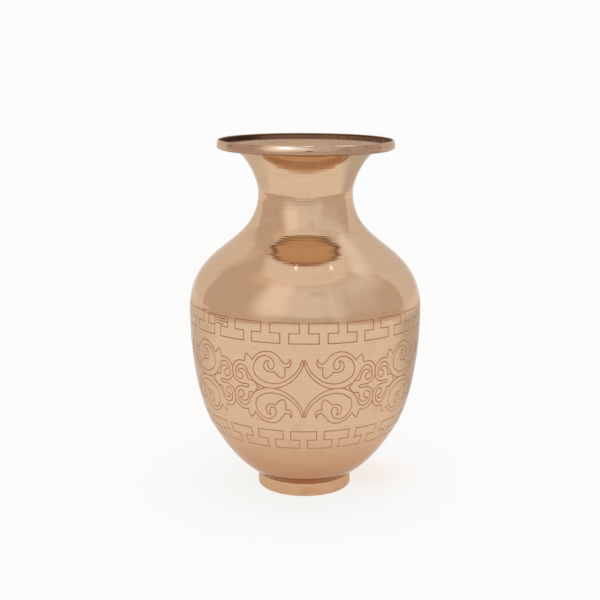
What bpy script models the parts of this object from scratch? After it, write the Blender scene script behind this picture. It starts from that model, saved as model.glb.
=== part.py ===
"""Brass kalash pot: a spun and brazed flower vase with a trumpet mouth.

The vase stands on the XY plane, centred on the Z axis. Its walls are sheet brass in
three spun sections that lap into each other, a rolled hoop stiffens the mouth, and a
turned ring is the foot. A bead of braze or solder closes each of the four joints.
"""

import math

import bpy

# Driving dimensions, in metres.
HEIGHT = 0.220
WALL = 0.0012
GAP = 0.0003
TURN_STEPS = 60
MERGE = 0.00005

# Outline of the wall's outer side: stations as (radius, height) and the lengths of the
# handles that bend the curve between them.
MOUTH_EDGE = (0.0530, 0.2153)
MOUTH_HANDLE = 0.0165
NECK = (0.0292, 0.1886)
NECK_HANDLE_UP = 0.0051
NECK_HANDLE_DOWN = 0.0359
BELLY = (0.0722, 0.1154)
BELLY_HANDLE_UP = 0.0419
BELLY_HANDLE_DOWN = 0.0402
FLANK = (0.0600, 0.0440)
FLANK_SLOPE = math.radians(61.3)
FLANK_HANDLE_UP = 0.0088
FLANK_HANDLE_DOWN = 0.0396
BASE_HEIGHT = 0.0033
BASE_HANDLE = 0.0242

# Lap joints between the spun sections.
GIRTH_SEAM = 0.1240
NECK_SEAM = 0.1886
LAP_LENGTH = 0.0060
JOGGLE = WALL + GAP

# Hoop round the mouth. Its two sides are given as (share of its height, share of its lean).
HOOP_RADIUS = 0.05454
HOOP_BOTTOM = 0.2150
HOOP_WALL = 0.0012
HOOP_LEAN = 0.0013
HOOP_OUTER_SIDE = ((0.88, 0.45), (0.62, 0.12), (0.30, 0.0), (0.0, 0.08))
HOOP_INNER_SIDE = ((0.0, 0.0), (0.55, 0.0), (0.88, 0.35), (0.98, 0.30))
HOOP_LIP_LEAN = 0.90
HOOP_SLACK = 0.00003

# Foot ring. It stays a little clear of the bowl's curved underside all over its top.
FOOT_RADIUS = 0.0296
FOOT_BORE = 0.0262
FOOT_SHOULDER = 0.0068
FOOT_BEVEL = 0.0012
FOOT_EDGE_ROUND = 0.0010
FOOT_EDGE_BULGE = 0.0003
FOOT_EDGE_TOP = 0.0025
FOOT_BORE_CHAMFER = 0.0004
FOOT_CLEARANCE = 0.000405

# Beads of braze and solder. The solder's section is given as (inward, down) in fillet sizes,
# and the foot bead sits this many times its radius and gap below the sloping bowl.
FILLET = 0.0013
FILLET_HOLLOW = 0.35
SOLDER_INSET = 0.0006
SOLDER_SECTION = ((0.0, 0.0), (0.30, 0.35), (1.10, 0.45), (1.55, 0.05))
FOOT_BEAD_RADIUS = 0.0004
FOOT_BEAD_RING = 0.02915
FOOT_BEAD_DROP = 1.25
BEAD_SIDES = 6

# Points along each spun section, from its upper edge to its lower edge.
BOWL_POINTS = 17
SHOULDER_POINTS = 12
FLARE_POINTS = 9
CURVE_SAMPLES = 240

# Finishes, as colour and roughness.
POLISHED_BRASS = ((0.694, 0.468, 0.296, 1.0), 0.18)
HOOP_BRASS = ((0.640, 0.425, 0.262, 1.0), 0.25)
FOOT_BRASS = ((0.600, 0.372, 0.215, 1.0), 0.30)
BRAZE_ALLOY = ((0.430, 0.190, 0.090, 1.0), 0.45)


def clear_scene():
    """Remove whatever the file holds, so that each run starts the same."""
    for item in list(bpy.data.objects):
        bpy.data.objects.remove(item, do_unlink=True)


def metal(name, finish):
    """A plain metal material with one of the finishes."""
    colour, roughness = finish
    material = bpy.data.materials.new(name)
    material.use_nodes = True
    shader = material.node_tree.nodes["Principled BSDF"]
    shader.inputs["Base Color"].default_value = colour
    shader.inputs["Metallic"].default_value = 1.0
    shader.inputs["Roughness"].default_value = roughness
    return material


def cubic(start, first_handle, second_handle, end):
    """Points on one cubic curve, without its first point."""
    points = []
    for index in range(1, CURVE_SAMPLES + 1):
        t = index / CURVE_SAMPLES
        weights = ((1 - t) ** 3, 3 * t * (1 - t) ** 2, 3 * t * t * (1 - t), t ** 3)
        corners = (start, first_handle, second_handle, end)
        radius = sum(w * corner[0] for w, corner in zip(weights, corners))
        height = sum(w * corner[1] for w, corner in zip(weights, corners))
        points.append((radius, height))
    return points


def wall_outline():
    """The wall's outer side as fine points, from the mouth's edge down to the axis."""
    flank_above = (
        FLANK[0] + FLANK_HANDLE_UP * math.cos(FLANK_SLOPE),
        FLANK[1] + FLANK_HANDLE_UP * math.sin(FLANK_SLOPE),
    )
    flank_below = (
        FLANK[0] - FLANK_HANDLE_DOWN * math.cos(FLANK_SLOPE),
        FLANK[1] - FLANK_HANDLE_DOWN * math.sin(FLANK_SLOPE),
    )
    trumpet = cubic(
        MOUTH_EDGE,
        (MOUTH_EDGE[0] - MOUTH_HANDLE, MOUTH_EDGE[1]),
        (NECK[0], NECK[1] + NECK_HANDLE_UP),
        NECK,
    )
    shoulder = cubic(
        NECK,
        (NECK[0], NECK[1] - NECK_HANDLE_DOWN),
        (BELLY[0], BELLY[1] + BELLY_HANDLE_UP),
        BELLY,
    )
    flank = cubic(
        BELLY,
        (BELLY[0], BELLY[1] - BELLY_HANDLE_DOWN),
        flank_above,
        FLANK,
    )
    base = cubic(
        FLANK,
        flank_below,
        (BASE_HANDLE, BASE_HEIGHT),
        (0.0, BASE_HEIGHT),
    )
    return [MOUTH_EDGE] + trumpet + shoulder + flank + base


OUTLINE = wall_outline()


def radius_at(height):
    """Radius of the wall's outer side at a height."""
    for upper, lower in zip(OUTLINE, OUTLINE[1:]):
        if lower[1] <= height <= upper[1]:
            share = (upper[1] - height) / (upper[1] - lower[1])
            return upper[0] + share * (lower[0] - upper[0])
    raise ValueError("the height is off the outline")


def height_at(radius):
    """Height of the bowl's underside at a radius less than the flank's."""
    for outer, inner in zip(OUTLINE[-CURVE_SAMPLES:], OUTLINE[1 - CURVE_SAMPLES:]):
        if inner[0] <= radius <= outer[0]:
            share = (outer[0] - radius) / (outer[0] - inner[0])
            return outer[1] + share * (inner[1] - outer[1])
    raise ValueError("the radius is off the bowl's underside")


def wall_points(top, bottom, count):
    """Points spaced evenly along the outline between two heights, top first."""
    fine = [(radius_at(top), top)]
    fine += [point for point in OUTLINE if bottom < point[1] < top]
    end = (0.0, bottom) if bottom <= BASE_HEIGHT else (radius_at(bottom), bottom)
    fine.append(end)
    lengths = [0.0]
    for first, second in zip(fine, fine[1:]):
        lengths.append(lengths[-1] + math.dist(first, second))
    points = []
    segment = 0
    for index in range(count - 1):
        target = lengths[-1] * index / (count - 1)
        while lengths[segment + 1] < target:
            segment += 1
        share = (target - lengths[segment]) / (lengths[segment + 1] - lengths[segment])
        first, second = fine[segment], fine[segment + 1]
        points.append(tuple(a + share * (b - a) for a, b in zip(first, second)))
    return points + [end]


def lap_points(seam):
    """The edge that steps in at a seam and runs down inside the next section."""
    upper = (radius_at(seam) - JOGGLE, seam)
    lower = (radius_at(seam - LAP_LENGTH) - JOGGLE, seam - LAP_LENGTH)
    return [upper, lower]


def turned(name, profile, material, collection, closed=False, wall=None):
    """A profile turned round the Z axis: a solid ring, or a sheet of even thickness."""
    vertices = [(radius, 0.0, height) for radius, height in profile]
    edges = [(index, index + 1) for index in range(len(profile) - 1)]
    if closed:
        edges.append((len(profile) - 1, 0))
    mesh = bpy.data.meshes.new(name)
    mesh.from_pydata(vertices, edges, [])
    item = bpy.data.objects.new(name, mesh)
    collection.objects.link(item)
    mesh.materials.append(material)
    screw = item.modifiers.new("Turn", "SCREW")
    screw.axis = "Z"
    screw.angle = 2 * math.pi
    screw.steps = TURN_STEPS
    screw.render_steps = TURN_STEPS
    screw.use_merge_vertices = True
    screw.merge_threshold = MERGE
    screw.use_smooth_shade = True
    if wall is not None:
        solidify = item.modifiers.new("Sheet", "SOLIDIFY")
        solidify.thickness = wall
        solidify.offset = -1.0
        solidify.use_even_offset = True
    return item


def lower_bowl(material, collection):
    """Spun cup from the girth seam down to the closed base."""
    profile = wall_points(GIRTH_SEAM - GAP, BASE_HEIGHT, BOWL_POINTS)
    return turned("lower_bowl", profile, material, collection, wall=WALL)


def shoulder(material, collection):
    """Spun section from the neck seam to the girth, with a lap inside the bowl."""
    profile = wall_points(NECK_SEAM - GAP, GIRTH_SEAM, SHOULDER_POINTS)
    profile += lap_points(GIRTH_SEAM)
    return turned("shoulder", profile, material, collection, wall=WALL)


def neck_flare(material, collection):
    """Trumpet mouth, with a lap inside the top of the shoulder."""
    profile = wall_points(MOUTH_EDGE[1], NECK_SEAM, FLARE_POINTS)
    profile += lap_points(NECK_SEAM)
    return turned("neck_flare", profile, material, collection, wall=WALL)


def rim_hoop(material, collection):
    """Upright hoop round the mouth's edge, bowed out and leaning in at its top."""
    height = HEIGHT - HOOP_BOTTOM
    inner_radius = HOOP_RADIUS - HOOP_WALL + HOOP_SLACK
    profile = []
    for radius, side in ((HOOP_RADIUS, HOOP_OUTER_SIDE), (inner_radius, HOOP_INNER_SIDE)):
        for level, lean in side:
            profile.append((radius - lean * HOOP_LEAN, HOOP_BOTTOM + level * height))
    profile.append((HOOP_RADIUS - HOOP_LIP_LEAN * HOOP_LEAN, HEIGHT))
    return turned("rim_hoop", profile, material, collection, closed=True)


def foot_ring(material, collection):
    """Turned ring under the bowl, its top dished to the bowl's underside."""
    bevel_radius = FOOT_RADIUS - FOOT_BEVEL
    mid_radius = (bevel_radius + FOOT_BORE) / 2
    profile = [
        (bevel_radius, height_at(bevel_radius) - FOOT_CLEARANCE),
        (FOOT_RADIUS, FOOT_SHOULDER),
        (FOOT_RADIUS, FOOT_EDGE_TOP),
        (FOOT_RADIUS - FOOT_EDGE_BULGE, FOOT_EDGE_ROUND),
        (FOOT_RADIUS - FOOT_EDGE_ROUND, 0.0),
        (FOOT_BORE + FOOT_BORE_CHAMFER, 0.0),
        (FOOT_BORE, FOOT_BORE_CHAMFER),
        (FOOT_BORE, height_at(FOOT_BORE) - FOOT_CLEARANCE),
        (mid_radius, height_at(mid_radius) - FOOT_CLEARANCE),
    ]
    return turned("foot_ring", profile, material, collection, closed=True)


def seam_braze(name, seam, material, collection):
    """Fillet inside the pot, under the end of a lap and against the outer sheet."""
    top = seam - LAP_LENGTH - GAP
    wall_face = min(radius_at(top), radius_at(top - FILLET)) - WALL - GAP
    profile = [
        (wall_face, top),
        (wall_face, top - FILLET),
        (wall_face - FILLET_HOLLOW * FILLET, top - FILLET_HOLLOW * FILLET),
        (wall_face - FILLET, top),
    ]
    return turned(name, profile, material, collection, closed=True)


def rim_solder(material, collection):
    """Flat fillet of solder under the corner where the trumpet meets the hoop."""
    top = HOOP_BOTTOM - GAP
    outer = HOOP_RADIUS - SOLDER_INSET
    profile = [(outer - inward * FILLET, top - down * FILLET) for inward, down in SOLDER_SECTION]
    return turned("rim_solder", profile, material, collection, closed=True)


def foot_braze(material, collection):
    """Round bead of braze in the groove between the bowl and the foot ring."""
    centre = height_at(FOOT_BEAD_RING) - FOOT_BEAD_DROP * (FOOT_BEAD_RADIUS + GAP)
    profile = []
    for index in range(BEAD_SIDES):
        angle = math.pi / 2 - 2 * math.pi * index / BEAD_SIDES
        profile.append((
            FOOT_BEAD_RING + FOOT_BEAD_RADIUS * math.cos(angle),
            centre + FOOT_BEAD_RADIUS * math.sin(angle),
        ))
    return turned("foot_braze", profile, material, collection, closed=True)


def main():
    clear_scene()
    pot = bpy.data.collections.new("kalash_pot")
    bpy.context.scene.collection.children.link(pot)
    polished = metal("polished_brass", POLISHED_BRASS)
    hoop_finish = metal("hoop_brass", HOOP_BRASS)
    foot_finish = metal("foot_brass", FOOT_BRASS)
    alloy = metal("braze_alloy", BRAZE_ALLOY)
    lower_bowl(polished, pot)
    shoulder(polished, pot)
    neck_flare(polished, pot)
    rim_hoop(hoop_finish, pot)
    foot_ring(foot_finish, pot)
    seam_braze("girth_braze", GIRTH_SEAM, alloy, pot)
    seam_braze("neck_braze", NECK_SEAM, alloy, pot)
    rim_solder(alloy, pot)
    foot_braze(alloy, pot)


main()
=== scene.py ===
"""Looks of the brass kalash pot: engraved belly, polished shoulder and neck, hooped mouth.

Every size is in pot millimetres: the frame's height divided by 220, which is one
millimetre at the size the pot was designed at. Angles run from the front, -Y, towards +X.
"""

import math

import bmesh
import bpy
import numpy as np
from mathutils import Matrix, Vector, kdtree
from mathutils.geometry import delaunay_2d_cdt


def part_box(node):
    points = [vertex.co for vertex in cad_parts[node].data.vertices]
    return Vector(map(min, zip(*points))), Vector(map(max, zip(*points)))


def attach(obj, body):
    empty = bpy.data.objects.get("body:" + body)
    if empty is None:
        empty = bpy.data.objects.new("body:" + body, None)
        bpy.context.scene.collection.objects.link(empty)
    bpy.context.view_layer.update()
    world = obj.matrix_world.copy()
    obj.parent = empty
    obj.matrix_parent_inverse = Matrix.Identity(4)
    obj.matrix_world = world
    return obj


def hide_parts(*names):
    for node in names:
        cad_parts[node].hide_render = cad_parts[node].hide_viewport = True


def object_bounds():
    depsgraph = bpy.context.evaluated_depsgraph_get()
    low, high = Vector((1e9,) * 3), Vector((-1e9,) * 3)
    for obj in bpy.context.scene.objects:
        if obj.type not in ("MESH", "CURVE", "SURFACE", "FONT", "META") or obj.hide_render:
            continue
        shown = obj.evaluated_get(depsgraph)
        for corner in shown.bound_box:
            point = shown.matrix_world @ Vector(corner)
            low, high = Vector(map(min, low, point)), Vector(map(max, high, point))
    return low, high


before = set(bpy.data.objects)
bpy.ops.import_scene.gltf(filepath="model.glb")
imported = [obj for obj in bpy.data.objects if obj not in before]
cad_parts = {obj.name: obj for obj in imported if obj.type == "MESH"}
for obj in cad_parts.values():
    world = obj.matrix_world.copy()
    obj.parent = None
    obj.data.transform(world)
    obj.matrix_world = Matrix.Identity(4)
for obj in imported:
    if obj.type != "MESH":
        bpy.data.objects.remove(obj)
cad_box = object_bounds()
MM = cad_box[1].z / 220.0


def top_of(node):
    """Height of a CAD node's highest point."""
    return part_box(node)[1].z / MM


def bottom_of(node):
    """Height of a CAD node's lowest point."""
    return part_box(node)[0].z / MM


def reach_of(node):
    """Largest radius of a CAD node."""
    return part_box(node)[1].x / MM


# Heights where the spun sections meet, and how thick and how close they are.
SHEET = 1.2
HAIRLINE = 0.006
GIRTH_SEAM = top_of("lower_bowl")
NECK_SEAM = top_of("shoulder")
LAP = 6.0
LAP_STEP = SHEET + 0.3
FOOT_EDGE = 8.4
EDGE_TAPER = 9.0
EDGE_THINNING = 0.3

# Outline of the wall's outer side: stations (radius, height) and handle lengths.
MOUTH_EDGE = (reach_of("neck_flare"), top_of("neck_flare"))
MOUTH_HANDLE = 16.5
NECK = (29.2, NECK_SEAM)
NECK_HANDLE_UP = 5.1
NECK_HANDLE_DOWN = 35.9
BELLY = (reach_of("lower_bowl"), 115.4)
BELLY_HANDLE_UP = 41.9
BELLY_HANDLE_DOWN = 40.2
FLANK = (60.0, 44.0)
FLANK_SLOPE = math.radians(61.3)
FLANK_HANDLE_UP = 8.8
FLANK_HANDLE_DOWN = 39.6
BASE_HEIGHT = bottom_of("lower_bowl")
BASE_HANDLE = 24.2
CURVE_SAMPLES = 400

# The engraved belt: five scroll motifs round the girth between two bands of T-frets.
MOTIFS = 5
MOTIF_TURN = math.radians(-0.42)
BELT_RADIUS = 70.4
BELT_CENTRE = 81.6
BELT_BOTTOM = 38.5
UNIT = 2 * math.pi * BELT_RADIUS / MOTIFS
UNIT_EDGE = 26.1
FRETS_PER_MOTIF = 4
FRET_PITCH = UNIT / FRETS_PER_MOTIF
FRET_BAR = 0.385 * FRET_PITCH
FRET_STEM = 0.120 * FRET_PITCH
UPPER_FRET = (27.6, 33.6, 39.6)
LOWER_FRET = (-27.5, -33.5, -39.6)
LINE_WIDTH = 0.68
LINE_DEPTH = 0.20

# Where the engraver set out each motif, and where one stretch of the front upper fret was
# cut in the wrong place and struck through: straight cuts, (along, up) from the motif.
SETTING_OUT = (
    ((0.1, 27.4), (0.1, 28.3)),
    ((0.0, -27.3), (0.0, -28.1)),
)
STRUCK_THROUGH = (
    ((-57.5, 39.6), (-57.5, 34.2)),
    ((-56.2, 38.2), (-49.0, 37.9)),
    ((-56.2, 36.7), (-46.9, 36.4)),
    ((-56.2, 35.2), (-50.0, 34.9)),
    ((-28.2, 24.0), (-27.7, 24.1)),
)

# What each face of a mesh is, as its "side" attribute says.
PLAIN, WALL, CUT, INSIDE = range(4)

# How finely the surfaces are cut.
DIVISIONS = 40
GRID_ROWS = 40
CURVE_STEP = 0.55
STRAIGHT_STEP = 1.5
TURN_STEPS = 240
RING_STEP = 1.2

# Half of one scroll motif above its middle line, as the centre lines of its grooves.
# Points are (along the girth, up) from the motif's centre; each line runs smoothly.
SCROLL = {
    "ogee_inner": (
        (0.8, 18.1), (0.3, 16.8), (0.3, 15.1), (1.1, 12.8), (2.3, 10.4), (4.6, 7.3),
        (7.8, 4.3), (11.3, 2.0), (14.7, 0.6), (19.5, 0.0), (23.8, 0.3), (26.9, 1.6),
        (29.5, 3.2), (31.7, 5.6), (33.3, 8.0), (34.3, 10.4), (35.8, 12.1), (37.9, 12.8),
        (39.8, 12.2), (41.3, 10.6), (42.0, 7.8), (41.5, 4.8), (39.5, 3.4), (37.9, 4.1),
        (37.3, 5.7), (38.2, 7.4), (39.5, 7.8), (40.6, 8.2),
    ),
    "ogee_outer": (
        (0.8, 18.1), (1.6, 15.9), (2.8, 13.0), (4.7, 10.1), (7.7, 7.2), (12.0, 4.3),
        (16.0, 3.2), (19.3, 3.0), (23.9, 4.0), (26.7, 5.7), (28.7, 7.3), (29.6, 9.7),
        (29.8, 11.9), (29.1, 14.7), (27.6, 17.0), (25.4, 18.9), (22.4, 19.7),
        (19.6, 18.9), (17.8, 17.2), (17.0, 14.7), (17.4, 12.8), (18.6, 11.8),
        (20.1, 12.2), (20.8, 13.8), (20.8, 15.6), (20.2, 16.9),
    ),
    "bud_side": (
        (20.2, 16.9), (21.7, 16.7), (22.9, 15.2), (23.3, 13.6), (22.9, 11.7),
        (21.5, 10.5), (19.3, 10.0), (16.9, 10.3),
    ),
    "leaf_edge": (
        (16.9, 10.3), (15.9, 8.9), (14.2, 7.5), (12.5, 6.7), (11.3, 7.7), (10.8, 9.7),
        (10.7, 11.6), (11.0, 13.3),
    ),
    "leaf_hook": ((11.0, 13.3), (9.2, 13.3), (7.8, 14.3), (7.3, 16.1), (7.8, 18.6)),
    "volute_top": (
        (7.8, 18.6), (8.3, 16.9), (9.3, 15.8), (10.7, 15.4), (11.7, 16.1), (13.4, 18.2),
        (15.6, 20.7), (18.3, 22.1), (21.2, 22.4), (24.3, 21.8), (27.0, 20.4),
        (29.3, 18.2), (30.7, 16.2),
    ),
    "spur_left": ((30.7, 16.2), (31.7, 18.1), (32.9, 19.1), (34.0, 20.1)),
    "spur_right": ((34.0, 20.1), (35.0, 18.0), (35.3, 16.1), (35.7, 14.9)),
    "scroll_outer": (
        (35.7, 14.9), (37.7, 15.2), (40.1, 14.9), (42.2, 13.6), (43.6, 11.7),
        (44.2, 9.4), (44.2, 6.1), (43.5, 3.9), (41.8, 2.1), (39.4, 1.0), (36.6, 0.9),
        (34.6, 0.9), (33.3, 0.0),
    ),
    "dart": ((27.0, 0.0), (28.1, 0.9), (29.5, 3.0)),
    "small_leaf": ((29.9, 3.4), (31.7, 3.7), (33.7, 3.9)),
    "small_leaf_up": (
        (33.7, 3.9), (34.2, 5.9), (35.1, 8.6), (36.6, 9.8), (38.4, 10.0), (39.9, 9.2),
        (40.6, 8.2),
    ),
}


def cubic(start, first_handle, second_handle, end):
    """Points on one cubic curve, without its first point."""
    t = np.linspace(0, 1, CURVE_SAMPLES + 1)[1:, None]
    corners = [np.array(corner, float) for corner in (start, first_handle, second_handle, end)]
    weights = ((1 - t) ** 3, 3 * t * (1 - t) ** 2, 3 * t * t * (1 - t), t ** 3)
    return sum(weight * corner for weight, corner in zip(weights, corners))


def wall_outline():
    """The wall's outer side as fine points, from the mouth's edge down to the axis."""
    slope = np.array((math.cos(FLANK_SLOPE), math.sin(FLANK_SLOPE)))
    flank = np.array(FLANK)
    trumpet = cubic(
        MOUTH_EDGE,
        (MOUTH_EDGE[0] - MOUTH_HANDLE, MOUTH_EDGE[1]),
        (NECK[0], NECK[1] + NECK_HANDLE_UP),
        NECK,
    )
    shoulder = cubic(
        NECK,
        (NECK[0], NECK[1] - NECK_HANDLE_DOWN),
        (BELLY[0], BELLY[1] + BELLY_HANDLE_UP),
        BELLY,
    )
    side = cubic(
        BELLY,
        (BELLY[0], BELLY[1] - BELLY_HANDLE_DOWN),
        flank + FLANK_HANDLE_UP * slope,
        FLANK,
    )
    base = cubic(
        FLANK,
        flank - FLANK_HANDLE_DOWN * slope,
        (BASE_HANDLE, BASE_HEIGHT),
        (0.0, BASE_HEIGHT),
    )
    return np.vstack([[MOUTH_EDGE], trumpet, shoulder, side, base])


OUTLINE = wall_outline()
RUNS = np.linalg.norm(np.diff(OUTLINE, axis=0), axis=1)
ALONG = np.concatenate([[0.0], np.cumsum(RUNS)])
TANGENTS = np.gradient(OUTLINE, ALONG, axis=0)
NORMALS = np.column_stack([-TANGENTS[:, 1], TANGENTS[:, 0]])
NORMALS /= np.linalg.norm(NORMALS, axis=1)[:, None]


def along_at(height):
    """Distance along the outline, from the mouth's edge, of the point at a height."""
    return float(np.interp(height, OUTLINE[::-1, 1], ALONG[::-1]))


def radius_at(height):
    """Radius of the wall's outer side at one height or many."""
    return np.interp(height, OUTLINE[::-1, 1], OUTLINE[::-1, 0])


def normal_at(height):
    """The outline's outward normal (radial, up) at a height."""
    along = np.interp(height, OUTLINE[::-1, 1], ALONG[::-1])
    return np.interp(along, ALONG, NORMALS[:, 0]), np.interp(along, ALONG, NORMALS[:, 1])


def wall_stations(top, bottom, step, inset=0.0):
    """Points (radius, height) evenly along the outline, moved in along its normal."""
    first, last = along_at(top), along_at(bottom)
    if bottom <= BASE_HEIGHT:
        last = ALONG[-1]
    count = max(2, round((last - first) / step) + 1)
    along = np.linspace(first, last, count)
    depth = inset * np.interp(along, (0.0, EDGE_TAPER), (EDGE_THINNING, 1.0))
    radius = np.interp(along, ALONG, OUTLINE[:, 0]) - depth * np.interp(along, ALONG, NORMALS[:, 0])
    height = np.interp(along, ALONG, OUTLINE[:, 1]) - depth * np.interp(along, ALONG, NORMALS[:, 1])
    return [(max(r, 0.0), z) for r, z in zip(radius, height)]


# Meshes


def piece(name, bm, materials, node):
    """Makes the welded mesh a named piece that stands for a CAD node."""
    bmesh.ops.remove_doubles(bm, verts=bm.verts, dist=0.01 * MM)
    mesh = bpy.data.meshes.new(name)
    bm.to_mesh(mesh)
    bm.free()
    for material in materials:
        mesh.materials.append(material)
    mesh.shade_smooth()
    set_normals(mesh)
    item = bpy.data.objects.new(name, mesh)
    bpy.context.scene.collection.objects.link(item)
    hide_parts(node)
    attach(item, "root")
    return item


def set_normals(mesh):
    """Shades faces on the wall's outline by its true normal, and other faces by angle."""
    mesh.set_sharp_from_angle(angle=math.radians(38))
    sides = np.zeros(len(mesh.polygons), int)
    mesh.attributes["side"].data.foreach_get("value", sides)
    points = np.zeros(len(mesh.vertices) * 3)
    mesh.vertices.foreach_get("co", points)
    points = points.reshape(-1, 3) / MM
    radius = np.maximum(np.hypot(points[:, 0], points[:, 1]), 1e-6)
    radial, up = normal_at(points[:, 2])
    true = np.column_stack([radial * points[:, 0] / radius, radial * points[:, 1] / radius, up])
    normals = np.array([loop.vector for loop in mesh.corner_normals])
    for polygon in mesh.polygons:
        corners = list(polygon.loop_indices)
        if sides[polygon.index] == WALL:
            normals[corners] = true[list(polygon.vertices)]
        elif sides[polygon.index] == CUT:
            normals[corners] = polygon.normal
    mesh.normals_split_custom_set(normals.tolist())
    mesh.attributes.remove(mesh.attributes["side"])


def add_rings(bm, profile, steps, turn=0.0, closed=True, waver=None):
    """Turns a profile round the Z axis. An item is (radius, height, side of the piece)."""
    layer = bm.faces.layers.int.get("side") or bm.faces.layers.int.new("side")
    angles = turn + np.arange(steps) * 2 * math.pi / steps
    rings = []
    for radius, height, _ in profile:
        radii = np.full(steps, radius)
        if waver is not None:
            radii = radii + waver(angles)
        rings.append([
            bm.verts.new((r * math.sin(a) * MM, -r * math.cos(a) * MM, height * MM))
            for r, a in zip(radii, angles)
        ])
    pairs = list(zip(range(len(rings)), range(1, len(rings))))
    if closed:
        pairs.append((len(rings) - 1, 0))
    for upper, lower in pairs:
        side = profile[upper][2] if profile[upper][2] == profile[lower][2] else PLAIN
        for index in range(steps):
            following = (index + 1) % steps
            corners = (
                rings[upper][index],
                rings[lower][index],
                rings[lower][following],
                rings[upper][following],
            )
            face = bm.faces.new(corners)
            face[layer] = side
            face.material_index = int(side == INSIDE)
    return rings


def marked(points, side):
    """The same points, each with the side of the piece that it lies on."""
    return [(radius, height, side) for radius, height in points]


def arc(centre, radius, start, end, count):
    """Points on a round corner in the profile's plane; angles in degrees from outward."""
    points = []
    for index in range(count):
        angle = math.radians(start + (end - start) * index / (count - 1))
        points.append((centre[0] + radius * math.cos(angle), centre[1] + radius * math.sin(angle)))
    return points


# Engraving


def smooth_line(points, step):
    """A centripetal Catmull-Rom line through the points, with a point about every step."""
    given = [Vector(point) for point in points]
    given = [2 * given[0] - given[1]] + given + [2 * given[-1] - given[-2]]
    fine = []
    for before, start, end, after in zip(given, given[1:], given[2:], given[3:]):
        knots = [0.0]
        for first, second in ((before, start), (start, end), (end, after)):
            knots.append(knots[-1] + math.sqrt((second - first).length))
        for index in range(12):
            t = knots[1] + (knots[2] - knots[1]) * index / 12
            level = [before, start, end, after]
            for reach in (1, 2):
                level = blended(level, knots, reach, t)
            share = (t - knots[1]) / (knots[2] - knots[1])
            fine.append(level[0].lerp(level[1], share))
    fine.append(given[-2])
    return evenly(fine, step)


def blended(level, knots, reach, t):
    """One round of the Catmull-Rom pyramid: neighbours mixed by where t lies."""
    mixed = []
    for index in range(len(level) - 1):
        start, end = knots[index], knots[index + reach]
        mixed.append(level[index].lerp(level[index + 1], (t - start) / (end - start)))
    return mixed


def evenly(points, step):
    """A line's points again, spaced evenly and about a step apart."""
    points = np.array([tuple(point) for point in points])
    runs = np.concatenate([[0.0], np.cumsum(np.linalg.norm(np.diff(points, axis=0), axis=1))])
    count = max(2, math.ceil(runs[-1] / step) + 1)
    places = np.linspace(0, runs[-1], count)
    return np.column_stack([np.interp(places, runs, points[:, axis]) for axis in (0, 1)])


def fret_lines(levels, shift):
    """One meander of T shapes along a motif: straight cuts that overrun their corners."""
    foot, middle, head = levels
    lines = []
    for index in range(-FRETS_PER_MOTIF, FRETS_PER_MOTIF):
        start = shift + index * FRET_PITCH
        corners = [
            (start - FRET_BAR, foot),
            (start + FRET_BAR, foot),
            (start + FRET_BAR, middle),
            (start + FRET_STEM, middle),
            (start + FRET_STEM, head),
            (start + FRET_PITCH - FRET_STEM, head),
            (start + FRET_PITCH - FRET_STEM, middle),
            (start + FRET_PITCH - FRET_BAR, middle),
            (start + FRET_PITCH - FRET_BAR, foot),
        ]
        for first, second in zip(corners, corners[1:]):
            ends = np.array([first, second])
            overrun = (ends[1] - ends[0]) / np.linalg.norm(ends[1] - ends[0]) * LINE_WIDTH / 2
            lines.append(evenly([ends[0] - overrun, ends[1] + overrun], STRAIGHT_STEP))
    return lines


def groove_lines(extra):
    """Centre lines of every groove over one motif's width and a little past it."""
    lines = [evenly(ends, STRAIGHT_STEP) for ends in SETTING_OUT]
    for points in SCROLL.values():
        line = smooth_line(points, CURVE_STEP)
        for along in (1, -1):
            for up in (1, -1):
                lines.append(line * (along, up))
    lines += fret_lines(UPPER_FRET, 0.0)
    lines += fret_lines(LOWER_FRET, 0.0)
    window = (UNIT_EDGE - UNIT - 3.0, UNIT_EDGE + 3.0)
    kept = []
    for shift in (-UNIT, 0.0, UNIT):
        for line in lines:
            moved = line + (shift, 0.0)
            inside = (moved[:, 0] > window[0]) & (moved[:, 0] < window[1])
            starts = np.flatnonzero(inside & ~np.concatenate([[False], inside[:-1]]))
            ends = np.flatnonzero(inside & ~np.concatenate([inside[1:], [False]]))
            kept += [moved[a:b + 1] for a, b in zip(starts, ends) if b > a]
    return kept + [evenly(ends, STRAIGHT_STEP) for ends in extra]


def nearest_groove(lines):
    """A search tree over the grooves' centre lines."""
    dense = np.vstack([evenly(line, CURVE_STEP / 8) for line in lines])
    tree = kdtree.KDTree(len(dense))
    for index, (along, up) in enumerate(dense):
        tree.insert((along, up, 0.0), index)
    tree.balance()
    return tree


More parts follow.
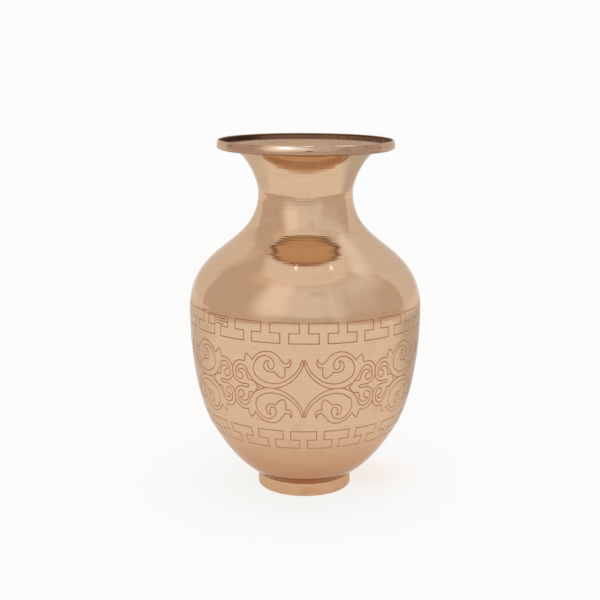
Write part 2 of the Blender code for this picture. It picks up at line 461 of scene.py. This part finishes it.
def belt_cell(extra=()):
    """One motif's width of the belt laid flat: points, depths, triangles, cut faces."""
    left, right = UNIT_EDGE - UNIT, UNIT_EDGE
    low, high = BELT_BOTTOM - BELT_CENTRE, GIRTH_SEAM - HAIRLINE - BELT_CENTRE
    lines = groove_lines(extra)
    tree = nearest_groove(lines)
    points, edges = [], []

    def chain(items, loop=False):
        first = len(points)
        points.extend(Vector(item) for item in items)
        edges.extend((index, index + 1) for index in range(first, len(points) - 1))
        if loop:
            edges.append((len(points) - 1, first))

    for line in lines:
        direction = np.gradient(line, axis=0)
        direction /= np.linalg.norm(direction, axis=1)[:, None]
        side = np.column_stack([-direction[:, 1], direction[:, 0]]) * LINE_WIDTH / 2
        chain(line)
        chain(np.vstack([line + side, (line - side)[::-1]]), loop=True)

    column = UNIT / DIVISIONS
    row = (high - low) / GRID_ROWS
    clear = LINE_WIDTH / 2 + 0.55
    for across in range(-1, DIVISIONS + 2):
        kept = []
        for index in range(GRID_ROWS + 1):
            place = (left + across * column, low + index * row)
            edge = index in (0, GRID_ROWS)
            if edge or tree.find((*place, 0.0))[2] > clear:
                kept.append(place)
        if across in (0, DIVISIONS):
            chain(kept)
        else:
            points.extend(Vector(place) for place in kept)

    for level in (low, high):
        chain([(left + across * column, level) for across in range(-1, DIVISIONS + 2)])

    flat, _, faces, *_ = delaunay_2d_cdt(points, edges, [], 0, 0.005)
    flat = np.array([tuple(point) for point in flat])
    depths = np.array([groove_depth(tree, point) for point in flat])
    triangles, cut = [], []
    for face in faces:
        middle = flat[list(face)].mean(axis=0)
        if not (left < middle[0] < right and low < middle[1] < high):
            continue
        triangles.append(tuple(face))
        cut.append(max(depths[list(face)]) > 0 and groove_depth(tree, middle) > 0)
    return flat, depths, triangles, cut


def groove_depth(tree, point):
    """Depth of the V-shaped cut at a point of the flat belt."""
    distance = tree.find((point[0], point[1], 0.0))[2]
    depth = LINE_DEPTH * (1 - distance / (LINE_WIDTH / 2))
    return depth if depth > 0.06 * LINE_DEPTH else 0.0


def engraved_bowl(plain, cut_line):
    """The lower bowl: the engraved belt, the plain base below it and the inner side."""
    bm = bmesh.new()
    layer = bm.faces.layers.int.new("side")
    cells = [belt_cell(STRUCK_THROUGH)] + [belt_cell()] * (MOTIFS - 1)
    for motif, (flat, depths, triangles, cut) in enumerate(cells):
        heights = BELT_CENTRE + flat[:, 1]
        radii = radius_at(heights) - depths
        used = sorted({index for triangle in triangles for index in triangle})
        angles = MOTIF_TURN + (flat[:, 0] + motif * UNIT) / BELT_RADIUS
        verts = {}
        for index in used:
            place = (
                radii[index] * math.sin(angles[index]) * MM,
                -radii[index] * math.cos(angles[index]) * MM,
                heights[index] * MM,
            )
            verts[index] = bm.verts.new(place)
        for triangle, is_cut in zip(triangles, cut):
            face = bm.faces.new([verts[index] for index in triangle])
            face[layer] = CUT if is_cut else WALL
            face.material_index = int(is_cut)
    edge = GIRTH_SEAM - HAIRLINE
    profile = marked(wall_stations(BELT_BOTTOM, 25.0, 1.5), WALL)
    profile += marked(wall_stations(25.0, BASE_HEIGHT, 1.5)[1:], PLAIN)
    profile += marked(wall_stations(edge, BASE_HEIGHT, 4.0, inset=SHEET)[::-1], PLAIN)
    profile.append((radius_at(edge), edge, PLAIN))
    turn = MOTIF_TURN + (UNIT_EDGE - UNIT) / BELT_RADIUS
    add_rings(bm, profile, MOTIFS * DIVISIONS, turn=turn, closed=False)
    return piece("engraved_bowl", bm, [plain, cut_line], "lower_bowl")


# Turned pieces


def lapped_profile(top, seam):
    """A spun section's profile: outer side, the lap inside the next section, inner side."""
    lap_top = radius_at(seam) - LAP_STEP
    lap_bottom = radius_at(seam - LAP) - LAP_STEP
    lap = [
        (lap_top + 0.3, seam + HAIRLINE),
        (lap_top, seam - 0.3),
        (lap_bottom, seam - LAP),
        (lap_bottom - SHEET, seam - LAP),
        (lap_top - SHEET, seam),
    ]
    outer = wall_stations(top, seam + HAIRLINE, RING_STEP)
    inner = wall_stations(top, seam + 2 * SHEET, RING_STEP, inset=SHEET)[::-1]
    return marked(outer, WALL) + marked(lap, PLAIN) + marked(inner, INSIDE)


def polished_shoulder(material, inner_material):
    """The spun section between the girth and the neck."""
    bm = bmesh.new()
    add_rings(bm, lapped_profile(NECK_SEAM - HAIRLINE, GIRTH_SEAM), TURN_STEPS)
    return piece("polished_shoulder", bm, [material, inner_material], "shoulder")


def trumpet_mouth(material, inner_material):
    """The flare from the neck to the mouth."""
    bm = bmesh.new()
    add_rings(bm, lapped_profile(MOUTH_EDGE[1], NECK_SEAM), TURN_STEPS)
    return piece("trumpet_mouth", bm, [material, inner_material], "neck_flare")


def hoop_waver(angles):
    """The hoop's slight hand-made unevenness, always inwards."""
    lobes = 0.5 + 0.3 * np.sin(3 * angles + 0.8) + 0.2 * np.sin(7 * angles + 2.1)
    return -0.05 * lobes


def mouth_hoop(material, inner_material):
    """The band round the mouth: widest at its foot, leaning in, with a worn round lip."""
    low, high = bottom_of("rim_hoop"), top_of("rim_hoop")
    reach = reach_of("rim_hoop")
    lean = 0.65
    lip_radius = 0.45
    edge_round = 0.3
    edge_swell = 0.12
    outer = []
    for index in range(15):
        share = index / 14
        side = high - low - edge_round - lip_radius
        outer.append((reach - lean * share ** 2.6, low + edge_round + side * share))
    lip_centre = (outer[-1][0] - lip_radius, high - lip_radius)
    lip = arc(lip_centre, lip_radius, 170, 15, 9)
    edge = arc((reach - edge_round, low + edge_round), edge_round, 0, -90, 5)
    edge = [(min(radius + edge_swell, reach), height) for radius, height in edge]
    inner_radius = reach_of("neck_flare") + 0.03
    inner = [
        (inner_radius, low),
        (inner_radius, MOUTH_EDGE[1] + 0.1),
        (inner_radius - 0.02, low + 0.6 * (high - low)),
        lip[0],
    ]
    bm = bmesh.new()
    profile = marked(lip + outer[::-1] + edge[1:], PLAIN) + marked(inner, INSIDE)
    add_rings(bm, profile, TURN_STEPS, waver=hoop_waver)
    return piece("mouth_hoop", bm, [material, inner_material], "rim_hoop")


def solder_line(material):
    """Thin hollow fillet of solder in the corner under the hoop."""
    top, bottom = top_of("rim_solder"), bottom_of("rim_solder")
    outer = reach_of("rim_solder") - 0.7
    profile = [
        (outer, top),
        (outer - 0.35, top - 0.12),
        (outer - 0.75, bottom + 0.1),
        (outer - 1.3, top - 0.05),
    ]
    bm = bmesh.new()
    add_rings(bm, marked(profile, PLAIN), TURN_STEPS)
    return piece("rim_solder_line", bm, [material], "rim_solder")


def underside_at(radius):
    """Height of the bowl's outer side near its base, at a radius."""
    base = OUTLINE[-CURVE_SAMPLES:][::-1]
    return float(np.interp(radius, base[:, 0], base[:, 1]))


def foot(material):
    """The turned foot ring: slightly bowed side, round edges, dished top and a bore."""
    reach = reach_of("foot_ring")
    bore = 26.2
    edge_round = 0.25
    lower_round = 1.0
    side_bow = 0.10
    side_start = 1.3
    side_height = FOOT_EDGE - edge_round - side_start
    lower = arc((reach - lower_round, lower_round), lower_round, -90, -14, 7)
    side = []
    for index in range(9):
        share = index / 8
        side.append((reach - side_bow * (2 * share - 1) ** 2, side_start + side_height * share))
    upper = arc((reach - side_bow - edge_round, FOOT_EDGE - edge_round), edge_round, 12, 88, 6)
    inner = [(bore, underside_at(bore) - 0.4), (bore, 0.4), (bore + 0.4, 0.0)]
    profile = upper[::-1] + side[::-1] + lower[::-1] + inner[::-1]
    bm = bmesh.new()
    add_rings(bm, marked(profile, PLAIN), TURN_STEPS)
    return piece("turned_foot", bm, [material], "foot_ring")


def foot_bead(material):
    """The hollow fillet of braze between the foot's top edge and the bowl."""
    inner, middle, outer = 28.2, 29.3, 31.7
    steepness = 0.5
    low = FOOT_EDGE + 0.02
    high = underside_at(outer) - 0.02
    profile = [(inner, underside_at(inner) - 0.05), (inner, low), (middle, low)]
    for index in range(1, 9):
        share = index / 8
        bend = math.sin(share * math.pi / 2)
        rise = (1 - math.cos(share * math.pi / 2)) ** steepness
        height = low + (high - low) * rise
        profile.append((middle + (outer - middle) * bend * 0.5 * (1 + share), height))
    bm = bmesh.new()
    add_rings(bm, marked(profile[::-1], PLAIN), TURN_STEPS)
    return piece("foot_braze_bead", bm, [material], "foot_braze")


# Materials

# How much a metal face keeps of its mirror light when it is seen almost edge on.
EDGE_TINT = (0.87, 0.81, 0.76, 1)

# Heights between which the finish changes, and a painted reflection low down: the heights and
# colours that paint the brass redder towards the bottom and darker near the foot, as it would
# mirror warm floor light and the shaded floor by the foot.
NECK_WEAR = (132, 160)
LOW_REFLECTION_HEIGHTS = (62, 6)
FOOT_SHADE_HEIGHTS = (24, 8)
LOW_REFLECTION_TONE = (0.74, 0.50, 0.36, 1)
FOOT_SHADE_TONE = (0.64, 0.44, 0.34, 1)

# Inside the hoop: the level above which a painted shadow under the lip darkens the wall, its
# colour, and a darker place by turn and half sizes, in the same colour.
LIP_SHADE_LEVEL = 218.8
INNER_DARK_TONE = (0.085, 0.045, 0.020, 1)
DARK_PATCH_TURN = -122.0
DARK_PATCH_HALVES = (32.0, 9.0)

# Painted highlights and dark marks on the hoop: turn from the front, height, half sizes, colour.
# The first six are painted highlights: a glint, the lighter warm light round it, and two bright
# lines along the lip. The last eight are dark marks.
HOOP_HIGHLIGHTS_AND_MARKS = (
    (-2.0, 218.3, 9.0, 0.9, (0.80, 0.60, 0.42)),
    (-15.0, 218.3, 19.0, 2.4, (0.80, 0.58, 0.39)),
    (-11.0, 218.7, 12.0, 1.2, (0.92, 0.76, 0.58)),
    (-12.0, 218.7, 6.5, 0.8, (1.0, 0.97, 0.90)),
    (25.0, 219.85, 9.0, 0.35, (1.0, 0.86, 0.72)),
    (1.5, 219.85, 4.5, 0.35, (0.98, 0.80, 0.60)),
    (2.0, 217.1, 3.0, 0.45, (0.17, 0.12, 0.08)),
    (40.4, 218.8, 1.5, 0.7, (0.30, 0.20, 0.14)),
    (44.0, 218.0, 1.3, 0.6, (0.36, 0.25, 0.17)),
    (53.3, 217.6, 1.6, 0.8, (0.34, 0.23, 0.16)),
    (62.0, 217.4, 5.0, 1.1, (0.44, 0.31, 0.22)),
    (-55.0, 218.2, 4.5, 1.2, (0.42, 0.27, 0.16)),
    (-43.0, 217.3, 7.0, 1.2, (0.50, 0.33, 0.21)),
    (79.0, 218.2, 5.0, 1.3, (0.40, 0.28, 0.21)),
)


class Shade:
    """One material's or world's node tree, with short calls for its common nodes."""

    def __init__(self, owner):
        owner.use_nodes = True
        self.tree = owner.node_tree
        self.tree.nodes.clear()

    def node(self, kind, **settings):
        """A node with its properties set."""
        made = self.tree.nodes.new("ShaderNode" + kind)
        for name, value in settings.items():
            setattr(made, name, value)
        return made

    def feed(self, socket, value):
        """Links an output to a socket, or sets the socket's own value."""
        if isinstance(value, bpy.types.NodeSocket):
            self.tree.links.new(value, socket)
        else:
            socket.default_value = value

    def maths(self, operation, *values):
        """The result of a Math node."""
        made = self.node("Math", operation=operation)
        for socket, value in zip(made.inputs, values):
            self.feed(socket, value)
        return made.outputs[0]

    def step(self, value, start, end):
        """0 below start, 1 above end and smooth between."""
        made = self.node("MapRange", interpolation_type="SMOOTHSTEP")
        self.feed(made.inputs["Value"], value)
        made.inputs["From Min"].default_value = start
        made.inputs["From Max"].default_value = end
        return made.outputs["Result"]

    def spread(self, value, low, high):
        """A 0 to 1 value moved to the range low to high."""
        made = self.node("MapRange")
        self.feed(made.inputs["Value"], value)
        made.inputs["To Min"].default_value = low
        made.inputs["To Max"].default_value = high
        return made.outputs["Result"]

    def mix(self, factor, first, second, blend="MIX"):
        """Two colours mixed."""
        made = self.node("Mix", data_type="RGBA", blend_type=blend)
        self.feed(made.inputs["Factor"], factor)
        self.feed(made.inputs["A"], first)
        self.feed(made.inputs["B"], second)
        return made.outputs["Result"]

    def stretched(self, across, up):
        """Object position in pot millimetres, times across in X and Y and up in Z."""
        place = self.node("TexCoord").outputs["Object"]
        made = self.node("VectorMath", operation="MULTIPLY")
        self.feed(made.inputs[0], place)
        made.inputs[1].default_value = (across / MM, across / MM, up / MM)
        return made.outputs[0]

    def height(self):
        """Height above the floor in pot millimetres."""
        parts = self.node("SeparateXYZ")
        self.feed(parts.inputs[0], self.stretched(1.0, 1.0))
        return parts.outputs["Z"]

    def blot(self, turn, level, half_turn, half_height):
        """1 in a soft oval patch at a turn in degrees from the front and a height, 0 outside."""
        parts = self.node("SeparateXYZ")
        self.feed(parts.inputs[0], self.stretched(1.0, 1.0))
        front = self.maths("MULTIPLY", parts.outputs["Y"], -1.0)
        angle = self.maths("DEGREES", self.maths("ARCTAN2", parts.outputs["X"], front))
        along = self.maths("DIVIDE", self.maths("SUBTRACT", angle, turn), half_turn)
        up = self.maths("DIVIDE", self.maths("SUBTRACT", parts.outputs["Z"], level), half_height)
        squares = self.maths(
            "ADD",
            self.maths("MULTIPLY", along, along),
            self.maths("MULTIPLY", up, up),
        )
        return self.step(squares, 1.0, 0.1)

    def noise(self, vector, detail=2.0, roughness=0.5):
        """Noise over a vector, about 0 to 1."""
        made = self.node("TexNoise")
        self.feed(made.inputs["Vector"], vector)
        made.inputs["Scale"].default_value = 1.0
        made.inputs["Detail"].default_value = detail
        made.inputs["Roughness"].default_value = roughness
        return made.outputs["Fac"]

    def bump(self, height, distance, under=None):
        """A bump whose full height is a distance in pot millimetres."""
        made = self.node("Bump")
        made.inputs["Strength"].default_value = 1.0
        made.inputs["Distance"].default_value = distance * MM
        self.feed(made.inputs["Height"], height)
        if under is not None:
            self.feed(made.inputs["Normal"], under)
        return made.outputs["Normal"]


def metal(name, colour, tarnish, roughness, ridges, stains=0.5, highlights_and_marks=(), painted_low_reflection=False):
    """Turned brass: lathe lines round the pot, hazy wear and thin patches of tarnish, and when
    asked a painted reflection low down and painted highlights and dark marks.
    """
    material = bpy.data.materials.new(name)
    shade = Shade(material)
    broad = shade.noise(shade.stretched(0.022, 0.034), detail=3.0)
    patches = shade.noise(shade.stretched(0.11, 0.16), detail=5.0, roughness=0.6)
    lines = shade.noise(shade.stretched(0.012, 1.5), detail=4.0, roughness=0.65)
    turning = shade.noise(shade.stretched(0.004, 0.42), detail=2.5, roughness=0.6)
    scuffs = shade.noise(shade.stretched(0.5, 2.4), detail=4.0, roughness=0.7)

    height = shade.height()
    near_neck = shade.step(height, *NECK_WEAR)
    stain = shade.maths("MULTIPLY", shade.step(patches, 0.45, 0.75), shade.step(broad, 0.35, 0.70))
    streak = shade.maths("MULTIPLY", shade.step(lines, 0.3, 0.8), 0.5)
    base = shade.mix(shade.maths("MULTIPLY", stain, stains), colour, tarnish)
    base = shade.mix(shade.maths("MULTIPLY", streak, 0.5), base, tarnish)
    # Painted reflection: the brass is made redder towards the bottom and darker near the foot,
    # standing in for mirrored warm floor light and the floor's shade by the foot.
    if painted_low_reflection:
        low_reflection_tint = shade.mix(shade.step(height, *LOW_REFLECTION_HEIGHTS), (1, 1, 1, 1), LOW_REFLECTION_TONE)
        low_reflection_tint = shade.mix(shade.step(height, *FOOT_SHADE_HEIGHTS), low_reflection_tint, FOOT_SHADE_TONE)
        base = shade.mix(1.0, base, low_reflection_tint, blend="MULTIPLY")
    # Painted highlights and dark marks, laid over the colour as soft ovals.
    for turn, level, half_turn, half_height, tone in highlights_and_marks:
        base = shade.mix(shade.blot(turn, level, half_turn, half_height), base, (*tone, 1))

    wear = shade.maths(
        "ADD",
        shade.maths("MULTIPLY", patches, 0.6),
        shade.maths("MULTIPLY", scuffs, 0.4),
    )
    rough = shade.spread(shade.step(wear, 0.25, 0.80), roughness * 0.75, roughness * 1.45)

    strength = shade.spread(near_neck, 0.20, 0.65)
    relief = shade.bump(shade.maths("MULTIPLY", turning, strength), ridges)
    relief = shade.bump(lines, ridges * 0.022, under=relief)
    relief = shade.bump(broad, ridges * 0.3, under=relief)

    shader = shade.node("BsdfPrincipled")
    shader.inputs["Metallic"].default_value = 1.0
    shader.inputs["Specular Tint"].default_value = EDGE_TINT
    shader.inputs["Anisotropic"].default_value = 0.6
    shader.inputs["Anisotropic Rotation"].default_value = 0.25
    shade.feed(shader.inputs["Base Color"], base)
    shade.feed(shader.inputs["Roughness"], rough)
    shade.feed(shader.inputs["Normal"], relief)
    tangent = shade.node("Tangent", direction_type="RADIAL", axis="Z")
    shade.feed(shader.inputs["Tangent"], tangent.outputs["Tangent"])
    finish(shade, shader)
    return material


def finish(shade, shader):
    """Ends a material's tree in its output."""
    output = shade.node("OutputMaterial")
    shade.tree.links.new(shader.outputs[0], output.inputs["Surface"])


def dull_metal(name, colour, dark, roughness, grain, lip_shade_and_patch=False):
    """Unpolished metal: an engraved line's bottom, braze as it froze, or the hoop's dark inner side
    with a painted shadow under its lip and a darker patch.
    """
    material = bpy.data.materials.new(name)
    shade = Shade(material)
    mottle = shade.noise(shade.stretched(0.35, 0.35), detail=4.0, roughness=0.65)
    pits = shade.noise(shade.stretched(2.2, 2.2), detail=3.0)
    base = shade.mix(shade.step(mottle, 0.3, 0.7), colour, dark)
    if lip_shade_and_patch:
        # Painted shadow under the lip over the top of the inner side, then a darker patch at the
        # back left.
        above = shade.step(shade.height(), LIP_SHADE_LEVEL - 0.4, LIP_SHADE_LEVEL + 0.3)
        base = shade.mix(above, base, INNER_DARK_TONE)
        patch = shade.blot(DARK_PATCH_TURN, LIP_SHADE_LEVEL, *DARK_PATCH_HALVES)
        base = shade.mix(patch, base, INNER_DARK_TONE)
    shader = shade.node("BsdfPrincipled")
    shader.inputs["Metallic"].default_value = 1.0
    shade.feed(shader.inputs["Base Color"], base)
    shade.feed(shader.inputs["Roughness"], shade.spread(pits, roughness * 0.8, roughness * 1.3))
    shade.feed(shader.inputs["Normal"], shade.bump(pits, grain))
    finish(shade, shader)
    return material


# Studio

# The stage floor, in metres: its size, where it fades, and the table that the brass mirrors.
FLOOR_RADIUS = 3.2
FLOOR_FADE = (0.56, 1.57)
TABLE_HALF = 0.85
TABLE_SOFTNESS = 0.02
TABLE_BACK = (0.75, 0.60)
# Painted shade on the floor behind the pot that only reflections see: how far behind and how far
# off it reaches, where it changes across, and how dark it gets from left to right.
BEHIND_POT = (-0.02, 0.16)
BEHIND_REACH = (1.0, 0.5)
PAINTED_SHADE_ACROSS = (-0.30, 0.16)
PAINTED_SHADE_LEVELS = (0.16, 0.34)
# A painted pool of warm light on the floor beside the foot: its centre and reach; its colour comes
# after the floor's own.
PAINTED_POOL_CENTRE = (0.040, 0.012, 0.0)
PAINTED_POOL_REACH = 0.040
FLOOR_DIFFUSE = (0.10, 0.10, 0.10, 1.0)
FLOOR_GLOW = (0.86, 0.855, 0.842, 1)
PAINTED_POOL_COLOUR = (0.86, 0.79, 0.73, 1)

# The studio's light: what the camera sees, the sweep, the ceiling and the floor far off.
SEEN_WHITE = (0.97, 0.97, 0.97, 1)
HORIZON = (0.8, -0.8)
CEILING_RISE = (59, 67)
WHITE_SWEEP = (0.88, 0.865, 0.85, 1)
CEILING = (0.97, 0.93, 0.93, 1)
FLOOR_FAR = (0.92, 0.91, 0.88, 1)

# The room in front as windows of directions: left, right, lowest and highest angle,
# softness, and light. Later ones lie over earlier ones.
ROOM = (
    (108, 180, -2, 90, 7.0, (0.86, 0.85, 0.85)),
    (-129, -100, 28, 64, 7.0, (0.70, 0.62, 0.585)),
    (-121, 113, -25, 63, 2.0, (0.70, 0.62, 0.585)),
    (-98, -44, 52, 68, 8.0, (0.84, 0.755, 0.64)),
    (-57, -41, 55, 63, 4.0, (0.98, 0.85, 0.67)),
    (40, 80, 8, 44, 10.0, (0.76, 0.73, 0.73)),
    (38, 110, 36, 60, 13.0, (0.87, 0.87, 0.89)),
    (100, 140, 47, 61, 6.0, (1.02, 1.05, 1.10)),
    (-12, 40, 2, 60, 9.0, (0.91, 0.92, 0.97)),
    (-52, -13, 6, 64, 13.0, (1.09, 1.07, 1.10)),
    (32.4, 33.8, -20, 60, 0.7, (0.80, 0.78, 0.78)),
    (6, 27, 43, 53, 5.0, (0.80, 0.78, 0.78)),
    (-26, 28, -16, 5, 6.0, (0.66, 0.63, 0.62)),
)

# Small bright lamps overhead: direction, radius in degrees and power.
LAMPS = (
    (-80, 84, 0.5, 8.0),
    (99, 73, 0.5, 8.0),
)

# The camera: lens and sensor in millimetres, place in pot heights, turns in radians.
LENS = 70.0
SENSOR = 36.0
CAMERA_BACK = 3.2598
CAMERA_UP = 1.2458
CAMERA_PAN = 0.00446
CAMERA_TILT_DOWN = 0.21239
CAMERA_ROLL = 0.00378

# The overhead lamp: place, size in metres and power in watts.
OVERHEAD_PLACE = (0.0, -0.2, 2.4)
OVERHEAD_SIZE = 1.8
OVERHEAD_POWER = 22.0


def stage_floor():
    """A pale, over-lit floor whose far edge fades into the white studio, with a painted pool of
    warm light by the foot and a painted shade behind the pot that only reflections see.
    """
    bm = bmesh.new()
    bmesh.ops.create_circle(bm, cap_ends=True, segments=96, radius=FLOOR_RADIUS)
    mesh = bpy.data.meshes.new("studio_floor")
    bm.to_mesh(mesh)
    bm.free()
    floor = bpy.data.objects.new("studio_floor", mesh)
    bpy.context.scene.collection.objects.link(floor)
    material = bpy.data.materials.new("pale_floor")
    shade = Shade(material)
    place = shade.node("TexCoord").outputs["Object"]
    length = shade.node("VectorMath", operation="LENGTH")
    shade.feed(length.inputs[0], place)
    distance = length.outputs["Value"]
    parts = shade.node("SeparateXYZ")
    shade.feed(parts.inputs[0], place)
    right, back, _ = parts.outputs
    seen = shade.node("LightPath").outputs["Is Camera Ray"]
    mirrored = shade.maths("SUBTRACT", 1.0, seen)

    # Painted shade: reflections see the floor darker behind the pot, more to the right.
    near = shade.step(distance, *BEHIND_REACH)
    behind = shade.maths("MULTIPLY", shade.step(back, *BEHIND_POT), near)
    painted_shade_depth = shade.spread(shade.step(right, *PAINTED_SHADE_ACROSS), *PAINTED_SHADE_LEVELS)
    painted_floor_shade = shade.maths("MULTIPLY", behind, painted_shade_depth)
    glow_less_painted_shade = shade.maths("SUBTRACT", 1.0, shade.maths("MULTIPLY", mirrored, painted_floor_shade))
    aside = shade.maths("ABSOLUTE", right)
    beside = shade.step(aside, TABLE_HALF - TABLE_SOFTNESS, TABLE_HALF + TABLE_SOFTNESS)
    off_table = shade.maths("MULTIPLY", beside, shade.step(back, *TABLE_BACK))
    far = shade.step(distance, *FLOOR_FADE)
    edge = shade.maths(
        "ADD",
        shade.maths("MULTIPLY", seen, far),
        shade.maths("MULTIPLY", mirrored, off_table),
    )

    lit = shade.node("BsdfDiffuse")
    lit.inputs["Color"].default_value = FLOOR_DIFFUSE
    glow = shade.node("Emission")
    # Painted pool of warm light beside the foot.
    pool_distance = shade.node("VectorMath", operation="DISTANCE")
    shade.feed(pool_distance.inputs[0], place)
    pool_distance.inputs[1].default_value = PAINTED_POOL_CENTRE
    painted_pool = shade.step(pool_distance.outputs["Value"], PAINTED_POOL_REACH, 0.0)
    shade.feed(glow.inputs["Color"], shade.mix(painted_pool, FLOOR_GLOW, PAINTED_POOL_COLOUR))
    shade.feed(glow.inputs["Strength"], glow_less_painted_shade)
    surface = shade.node("AddShader")
    shade.feed(surface.inputs[0], lit.outputs[0])
    shade.feed(surface.inputs[1], glow.outputs[0])
    clear = shade.node("BsdfTransparent")
    fade = shade.node("MixShader")
    shade.feed(fade.inputs[0], edge)
    shade.feed(fade.inputs[1], surface.outputs[0])
    shade.feed(fade.inputs[2], clear.outputs[0])
    finish(shade, fade)
    mesh.materials.append(material)
    return floor


def studio_world():
    """The white studio and the dimmer room behind the camera, by direction."""
    world = bpy.data.worlds.new("white_studio")
    bpy.context.scene.world = world
    shade = Shade(world)
    direction = shade.node("TexCoord").outputs["Generated"]
    parts = shade.node("SeparateXYZ")
    shade.feed(parts.inputs[0], direction)
    right, back, up = parts.outputs
    front = shade.maths("MULTIPLY", back, -1.0)
    turn = shade.maths("DEGREES", shade.maths("ARCTAN2", right, front))
    rise = shade.maths("DEGREES", shade.maths("ARCSINE", up))

    def patch(left, right_edge, low, high, soft):
        """1 inside a window of directions, given in degrees, and 0 outside it."""
        sides = shade.maths(
            "MULTIPLY",
            shade.step(turn, left - soft, left + soft),
            shade.step(turn, right_edge + soft, right_edge - soft),
        )
        levels = shade.maths(
            "MULTIPLY",
            shade.step(rise, low - soft, low + soft),
            shade.step(rise, high + soft, high - soft),
        )
        return shade.maths("MULTIPLY", sides, levels)

    def lamp(turn_to, rise_to, radius):
        """1 inside a small round lamp in that direction."""
        turn_to, rise_to = math.radians(turn_to), math.radians(rise_to)
        toward = (
            math.sin(turn_to) * math.cos(rise_to),
            -math.cos(turn_to) * math.cos(rise_to),
            math.sin(rise_to),
        )
        dot = shade.node("VectorMath", operation="DOT_PRODUCT")
        shade.feed(dot.inputs[0], direction)
        dot.inputs[1].default_value = toward
        rim = math.cos(math.radians(radius))
        return shade.step(dot.outputs["Value"], rim, (1 + 2 * rim) / 3)

    colour = shade.mix(shade.step(rise, *HORIZON), WHITE_SWEEP, FLOOR_FAR)
    for left, right_edge, low, high, soft, light in ROOM:
        colour = shade.mix(patch(left, right_edge, low, high, soft), colour, (*light, 1))
    colour = shade.mix(shade.step(rise, *CEILING_RISE), colour, CEILING)
    for turn_to, rise_to, radius, power in LAMPS:
        colour = shade.mix(lamp(turn_to, rise_to, radius), colour, (power, power, power, 1))

    reflected = shade.node("Background")
    shade.feed(reflected.inputs["Color"], colour)
    seen = shade.node("Background")
    seen.inputs["Color"].default_value = SEEN_WHITE
    either = shade.node("MixShader")
    shade.feed(either.inputs[0], shade.node("LightPath").outputs["Is Camera Ray"])
    shade.feed(either.inputs[1], reflected.outputs[0])
    shade.feed(either.inputs[2], seen.outputs[0])
    output = shade.node("OutputWorld")
    shade.feed(output.inputs["Surface"], either.outputs[0])


def area_light(name, place, target, size, power, glossy):
    """A soft square lamp at a place, facing a target."""
    light = bpy.data.lights.new(name, "AREA")
    light.size = size
    light.energy = power
    lamp = bpy.data.objects.new(name, light)
    bpy.context.scene.collection.objects.link(lamp)
    lamp.location = place
    facing = Vector(place) - Vector(target)
    lamp.rotation_euler = facing.to_track_quat("Z", "Y").to_euler()
    lamp.visible_glossy = glossy
    return lamp


def studio_camera():
    """The camera: long lens, a little above the pot and looking slightly down."""
    camera_data = bpy.data.cameras.new("camera")
    camera_data.lens = LENS
    camera_data.sensor_width = SENSOR
    camera = bpy.data.objects.new("camera", camera_data)
    bpy.context.scene.collection.objects.link(camera)
    height = 220 * MM
    place = Matrix.Translation((0.0, -CAMERA_BACK * height, CAMERA_UP * height))
    pan = Matrix.Rotation(CAMERA_PAN, 4, "Z")
    tilt = Matrix.Rotation(math.pi / 2 - CAMERA_TILT_DOWN, 4, "X")
    roll = Matrix.Rotation(CAMERA_ROLL, 4, "Z")
    camera.matrix_world = place @ pan @ tilt @ roll
    bpy.context.scene.camera = camera


def main():
    bpy.context.scene.view_settings.view_transform = "Standard"
    # Polished brass, with the painted reflection low down.
    polished = metal(
        "polished_brass", (0.715, 0.497, 0.322, 1), (0.560, 0.345, 0.200, 1), 0.085, 0.140,
        painted_low_reflection=True)
    inner_brass = metal(
        "inner_brass", (0.530, 0.360, 0.240, 1), (0.380, 0.235, 0.145, 1), 0.20, 0.040)
    # The hoop's brass, with painted highlights and dark marks.
    hoop_metal_and_highlights = metal(
        "hoop_brass", (0.590, 0.395, 0.260, 1), (0.230, 0.135, 0.085, 1), 0.17, 0.030,
        stains=0.6, highlights_and_marks=HOOP_HIGHLIGHTS_AND_MARKS)
    foot_finish = metal(
        "foot_brass", (0.665, 0.395, 0.225, 1), (0.430, 0.230, 0.120, 1), 0.20, 0.020)
    groove = dull_metal("engraved_line", (0.56, 0.28, 0.15, 1), (0.44, 0.20, 0.10, 1), 0.40, 0.02)
    alloy = dull_metal("braze_alloy", (0.62, 0.34, 0.20, 1), (0.50, 0.25, 0.14, 1), 0.38, 0.03)
    solder = dull_metal("rim_solder", (0.50, 0.30, 0.18, 1), (0.40, 0.22, 0.12, 1), 0.35, 0.03)
    # The hoop's dark inner side, with a painted shadow under the lip.
    dark_inside_and_lip_shade = dull_metal(
        "dark_inner_brass_lip_shade", (0.36, 0.225, 0.140, 1), (0.225, 0.140, 0.088, 1), 0.40, 0.01,
        lip_shade_and_patch=True)
    engraved_bowl(polished, groove)
    polished_shoulder(polished, inner_brass)
    trumpet_mouth(polished, inner_brass)
    mouth_hoop(hoop_metal_and_highlights, dark_inside_and_lip_shade)
    solder_line(solder)
    foot(foot_finish)
    foot_bead(alloy)
    for node in ("girth_braze", "neck_braze"):
        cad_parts[node].material_slots[0].material = alloy
    stage_floor()
    studio_world()
    area_light("overhead", OVERHEAD_PLACE, (0.0, 0.0, 0.0), OVERHEAD_SIZE, OVERHEAD_POWER, False)
    studio_camera()


main()
